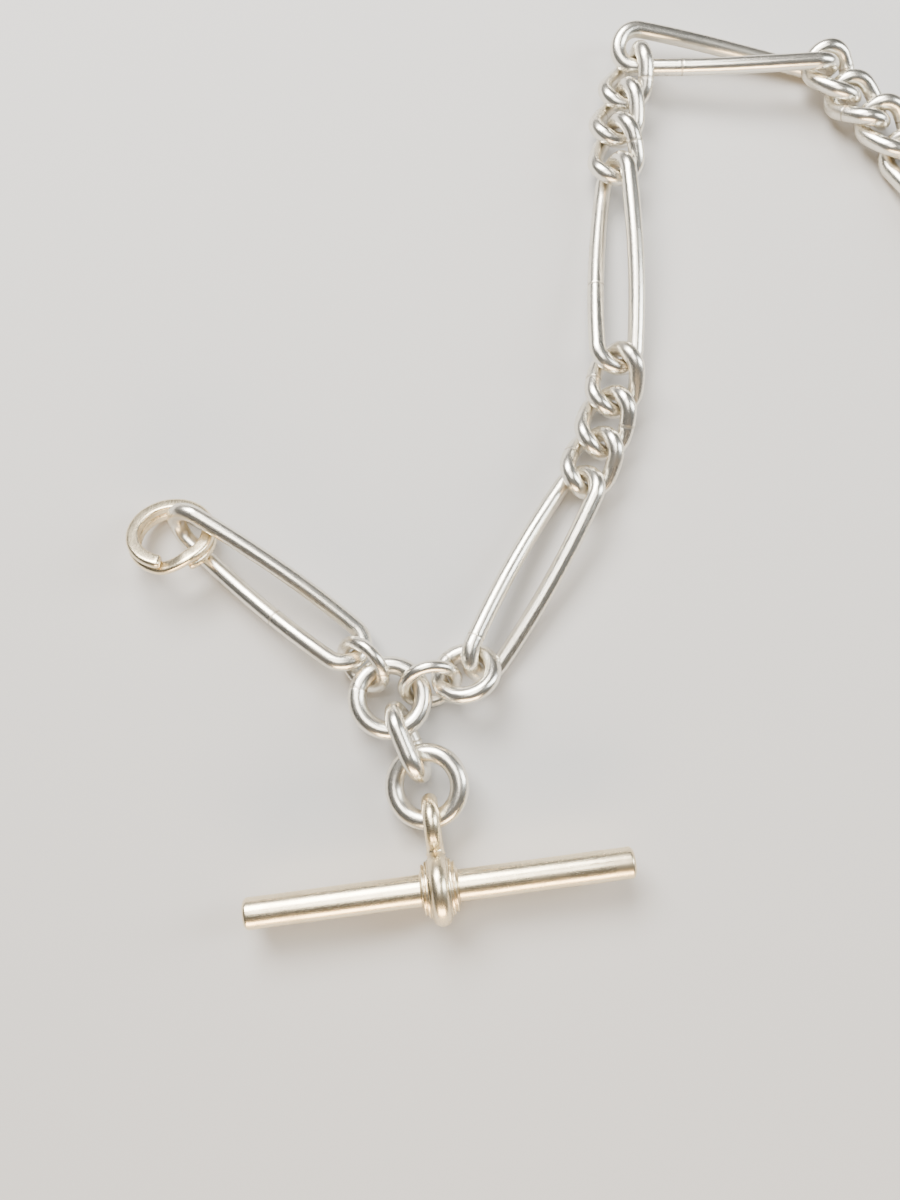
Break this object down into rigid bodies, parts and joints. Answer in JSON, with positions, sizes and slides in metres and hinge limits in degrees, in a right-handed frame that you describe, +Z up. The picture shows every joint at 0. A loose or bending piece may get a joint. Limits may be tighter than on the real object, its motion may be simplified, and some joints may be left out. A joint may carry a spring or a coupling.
{
  "type": "pocket watch chain",
  "caption": "Watch chain of long twisted links and short curb links, with a T-bar on a short drop, a fob link with a split ring, and a swivel hook.",
  "frame": {"origin": "on the surface the chain lies on, under the middle of its outline", "axes": "+X to the right and +Y away along the surface the chain lies on, +Z up; the T-bar is at the front left and the swivel at the right"},
  "size_m": [0.136, 0.0923, 0.0063],
  "materials": {
    "silver": "polished sterling silver, softly worn, with fine scratches",
    "warm_silver": "polished silver with a warm, faintly golden tone, worn along its edges",
    "spring_steel": "drawn spring wire"
  },
  "bodies": {
    "centre_ring": {"centre_ring": "silver"},
    "fob_jump_ring": {"fob_jump_ring": "silver"},
    "chain_jump_ring": {"chain_jump_ring": "silver"},
    "chain_ring": {"chain_ring": "silver"},
    "t_bar_ring": {"t_bar_ring": "silver"},
    "end_jump_ring": {"end_jump_ring": "silver"},
    "drop_link": {"drop_link": "silver"},
    "fob_long_link": {"fob_long_link": "silver"},
    "long_link_1": {"long_link_1": "silver"},
    "curb_link_1": {"curb_link_1": "silver"},
    "curb_link_2": {"curb_link_2": "silver"},
    "curb_link_3": {"curb_link_3": "silver"},
    "long_link_2": {"long_link_2": "silver"},
    "curb_link_4": {"curb_link_4": "silver"},
    "curb_link_5": {"curb_link_5": "silver"},
    "curb_link_6": {"curb_link_6": "silver"},
    "long_link_3": {"long_link_3": "silver"},
    "curb_link_7": {"curb_link_7": "silver"},
    "curb_link_8": {"curb_link_8": "silver"},
    "curb_link_9": {"curb_link_9": "silver"},
    "long_link_4": {"long_link_4": "silver"},
    "curb_link_10": {"curb_link_10": "silver"},
    "curb_link_11": {"curb_link_11": "silver"},
    "curb_link_12": {"curb_link_12": "silver"},
    "long_link_5": {"long_link_5": "silver"},
    "curb_link_13": {"curb_link_13": "silver"},
    "curb_link_14": {"curb_link_14": "silver"},
    "curb_link_15": {"curb_link_15": "silver"},
    "long_link_6": {"long_link_6": "silver"},
    "curb_link_16": {"curb_link_16": "silver"},
    "curb_link_17": {"curb_link_17": "silver"},
    "curb_link_18": {"curb_link_18": "silver"},
    "long_link_7": {"long_link_7": "silver"},
    "split_ring": {"split_ring": "warm_silver"},
    "t_bar": {"t_bar_rod": "warm_silver", "t_bar_band": "warm_silver", "t_bar_left_collar": "warm_silver", "t_bar_right_collar": "warm_silver", "t_bar_eye": "warm_silver"},
    "swivel_eye": {"swivel_eye": "silver"},
    "swivel_hook": {"swivel_body": "silver", "gate_pin": "silver", "gate_spring": "spring_steel"},
    "gate_lever": {"gate_lever": "silver"}
  },
  "joints": [
    {"name": "drop_link_swing", "type": "hinge", "parent": "centre_ring", "child": "drop_link", "pos_m": [-0.04257, -0.02241, 0.00268], "axis": [0.8193, 0.5657, -0.0937], "range_deg": [-25, 25]},
    {"name": "t_bar_ring_swing", "type": "hinge", "parent": "drop_link", "child": "t_bar_ring", "pos_m": [-0.0422, -0.02505, 0.00267], "axis": [-0.8801, -0.4205, -0.2206], "range_deg": [-25, 25]},
    {"name": "t_bar_swing", "type": "hinge", "parent": "t_bar_ring", "child": "t_bar", "pos_m": [-0.04083, -0.03057, 0.00267], "axis": [-0.9745, -0.0419, -0.2206], "range_deg": [-30, 30]},
    {"name": "fob_jump_ring_swing", "type": "hinge", "parent": "centre_ring", "child": "fob_jump_ring", "pos_m": [-0.04573, -0.01755, 0.0024], "axis": [-0.8549, -0.5109, 0.0905], "range_deg": [-25, 22.5]},
    {"name": "fob_long_link_swing", "type": "hinge", "parent": "fob_jump_ring", "child": "fob_long_link", "pos_m": [-0.04699, -0.01632, 0.00257], "axis": [0.5443, 0.7341, -0.406], "range_deg": [-30, 30]},
    {"name": "split_ring_swing", "type": "hinge", "parent": "fob_long_link", "child": "split_ring", "pos_m": [-0.06132, -0.00707, 0.00143], "axis": [0.7274, -0.682, 0.0752], "range_deg": [-30, 2.5]},
    {"name": "chain_jump_ring_swing", "type": "hinge", "parent": "centre_ring", "child": "chain_jump_ring", "pos_m": [-0.04134, -0.0198, 0.00238], "axis": [0.085, -0.9926, 0.0869], "range_deg": [-25, 10]},
    {"name": "chain_ring_swing", "type": "hinge", "parent": "chain_jump_ring", "child": "chain_ring", "pos_m": [-0.03987, -0.01866, 0.00247], "axis": [-0.2291, 0.8001, -0.5544], "range_deg": [-25, 25]},
    {"name": "long_link_1_swing", "type": "hinge", "parent": "chain_ring", "child": "long_link_1", "pos_m": [-0.03545, -0.01674, 0.00256], "axis": [0.4089, -0.7221, 0.558], "range_deg": [-25, 12.5]},
    {"name": "curb_link_1_swing", "type": "hinge", "parent": "long_link_1", "child": "curb_link_1", "pos_m": [-0.0252, -0.0007, 0.00172], "axis": [0.8084, 0.5533, 0.2009], "range_deg": [0, 10]},
    {"name": "curb_link_2_swing", "type": "hinge", "parent": "curb_link_1", "child": "curb_link_2", "pos_m": [-0.02683, 0.0037, 0.00139], "axis": [0.7956, 0.5792, -0.1777], "range_deg": [0, 15]},
    {"name": "curb_link_3_swing", "type": "hinge", "parent": "curb_link_2", "child": "curb_link_3", "pos_m": [-0.02558, 0.00754, 0.003], "axis": [0.4631, -0.882, 0.0873], "range_deg": [-20, 0]},
    {"name": "long_link_2_swing", "type": "hinge", "parent": "curb_link_3", "child": "long_link_2", "pos_m": [-0.0222, 0.01072, 0.0042], "axis": [0.4598, -0.8785, -0.1298], "range_deg": [-7.5, 0]},
    {"name": "curb_link_4_swing", "type": "hinge", "parent": "long_link_2", "child": "curb_link_4", "pos_m": [-0.02119, 0.03099, 0.00314], "axis": [-0.23, -0.8516, -0.471], "range_deg": [-10, 0]},
    {"name": "curb_link_5_swing", "type": "hinge", "parent": "curb_link_4", "child": "curb_link_5", "pos_m": [-0.02335, 0.03507, 0.00186], "axis": [0.4417, 0.5398, 0.7166], "range_deg": [0, 20]},
    {"name": "curb_link_6_swing", "type": "hinge", "parent": "curb_link_5", "child": "curb_link_6", "pos_m": [-0.02372, 0.03917, 0.00235], "axis": [0.1642, -0.9058, 0.3906], "range_deg": [-7.5, 0]},
    {"name": "long_link_3_swing", "type": "hinge", "parent": "curb_link_6", "child": "long_link_3", "pos_m": [-0.02175, 0.04236, 0.00108], "axis": [0.7641, 0.6246, 0.1612], "range_deg": [0, 15]},
    {"name": "curb_link_7_swing", "type": "hinge", "parent": "long_link_3", "child": "curb_link_7", "pos_m": [-0.00029, 0.04286, 0.00245], "axis": [0.4939, -0.5862, -0.6423], "range_deg": [-5, 2.5]},
    {"name": "curb_link_8_swing", "type": "hinge", "parent": "curb_link_7", "child": "curb_link_8", "pos_m": [0.00074, 0.03908, 0.0014], "axis": [-0.1112, -0.6462, 0.755], "range_deg": [-7.5, 20]},
    {"name": "curb_link_9_swing", "type": "hinge", "parent": "curb_link_8", "child": "curb_link_9", "pos_m": [0.00136, 0.03615, 0.00167], "axis": [-0.1179, -0.9828, -0.1422], "range_deg": [-7.5, 20]},
    {"name": "long_link_4_swing", "type": "hinge", "parent": "curb_link_9", "child": "long_link_4", "pos_m": [0.00553, 0.03289, 0.00176], "axis": [-0.4431, -0.4643, 0.7669], "range_deg": [-25, 25]},
    {"name": "curb_link_10_swing", "type": "hinge", "parent": "long_link_4", "child": "curb_link_10", "pos_m": [0.01447, 0.01621, 0.0024], "axis": [0.2251, -0.9136, 0.3387], "range_deg": [-5, 17.5]},
    {"name": "curb_link_11_swing", "type": "hinge", "parent": "curb_link_10", "child": "curb_link_11", "pos_m": [0.01785, 0.01379, 0.00179], "axis": [-0.5484, -0.6228, 0.5581], "range_deg": [-7.5, 20]},
    {"name": "curb_link_12_swing", "type": "hinge", "parent": "curb_link_11", "child": "curb_link_12", "pos_m": [0.01691, 0.01097, 0.00112], "axis": [-0.6416, -0.5339, -0.5507], "range_deg": [-12.5, 20]},
    {"name": "long_link_5_swing", "type": "hinge", "parent": "curb_link_12", "child": "long_link_5", "pos_m": [0.01962, 0.00764, 0.00187], "axis": [-0.0145, -0.9051, -0.4249], "range_deg": [-5, 7.5]},
    {"name": "curb_link_13_swing", "type": "hinge", "parent": "long_link_5", "child": "curb_link_13", "pos_m": [0.01432, -0.01371, 0.00112], "axis": [-0.212, -0.8777, 0.4298], "range_deg": [-5, 10]},
    {"name": "curb_link_14_swing", "type": "hinge", "parent": "curb_link_13", "child": "curb_link_14", "pos_m": [0.01808, -0.01547, 0.00203], "axis": [-0.043, -0.8869, -0.46], "range_deg": [-2.5, 10]},
    {"name": "curb_link_15_swing", "type": "hinge", "parent": "curb_link_14", "child": "curb_link_15", "pos_m": [0.01676, -0.01987, 0.00325], "axis": [-0.6099, 0.5671, -0.5535], "range_deg": [-20, 7.5]},
    {"name": "long_link_6_swing", "type": "hinge", "parent": "curb_link_15", "child": "long_link_6", "pos_m": [0.0143, -0.0235, 0.00229], "axis": [0.0414, -0.8109, 0.5838], "range_deg": [-5, 2.5]},
    {"name": "curb_link_16_swing", "type": "hinge", "parent": "long_link_6", "child": "curb_link_16", "pos_m": [0.02588, -0.04264, 0.00101], "axis": [0.4847, -0.7943, 0.3663], "range_deg": [-5, 7.5]},
    {"name": "curb_link_17_swing", "type": "hinge", "parent": "curb_link_16", "child": "curb_link_17", "pos_m": [0.02965, -0.04374, 0.00252], "axis": [0.5965, 0.7665, -0.2382], "range_deg": [-7.5, 20]},
    {"name": "curb_link_18_swing", "type": "hinge", "parent": "curb_link_17", "child": "curb_link_18", "pos_m": [0.03368, -0.04388, 0.00084], "axis": [0.9728, -0.2306, -0.0223], "range_deg": [-5, 7.5]},
    {"name": "long_link_7_swing", "type": "hinge", "parent": "curb_link_18", "child": "long_link_7", "pos_m": [0.03535, -0.04119, 0.00382], "axis": [0.757, 0.4756, -0.4481], "range_deg": [-5, 20]},
    {"name": "end_jump_ring_swing", "type": "hinge", "parent": "long_link_7", "child": "end_jump_ring", "pos_m": [0.04943, -0.02894, 0.00362], "axis": [0.4231, 0.0676, 0.9036], "range_deg": [-25, 25]},
    {"name": "swivel_eye_swing", "type": "hinge", "parent": "end_jump_ring", "child": "swivel_eye", "pos_m": [0.05173, -0.02592, 0.00118], "axis": [-0.6548, -0.3715, -0.6582], "range_deg": [-30, 30]},
    {"name": "barrel_turn", "type": "hinge", "parent": "swivel_eye", "child": "swivel_hook", "pos_m": [0.05644, -0.02223, 0.00188], "axis": [0.7529, 0.6568, -0.0419], "continuous": true},
    {"name": "gate_swing", "type": "hinge", "parent": "swivel_hook", "child": "gate_lever", "pos_m": [0.0602, -0.02046, 0.00164], "axis": [0.0739, -0.0212, 0.997], "range_deg": [0, 20], "stiffness_Nm_per_rad": 0.002}
  ]
}
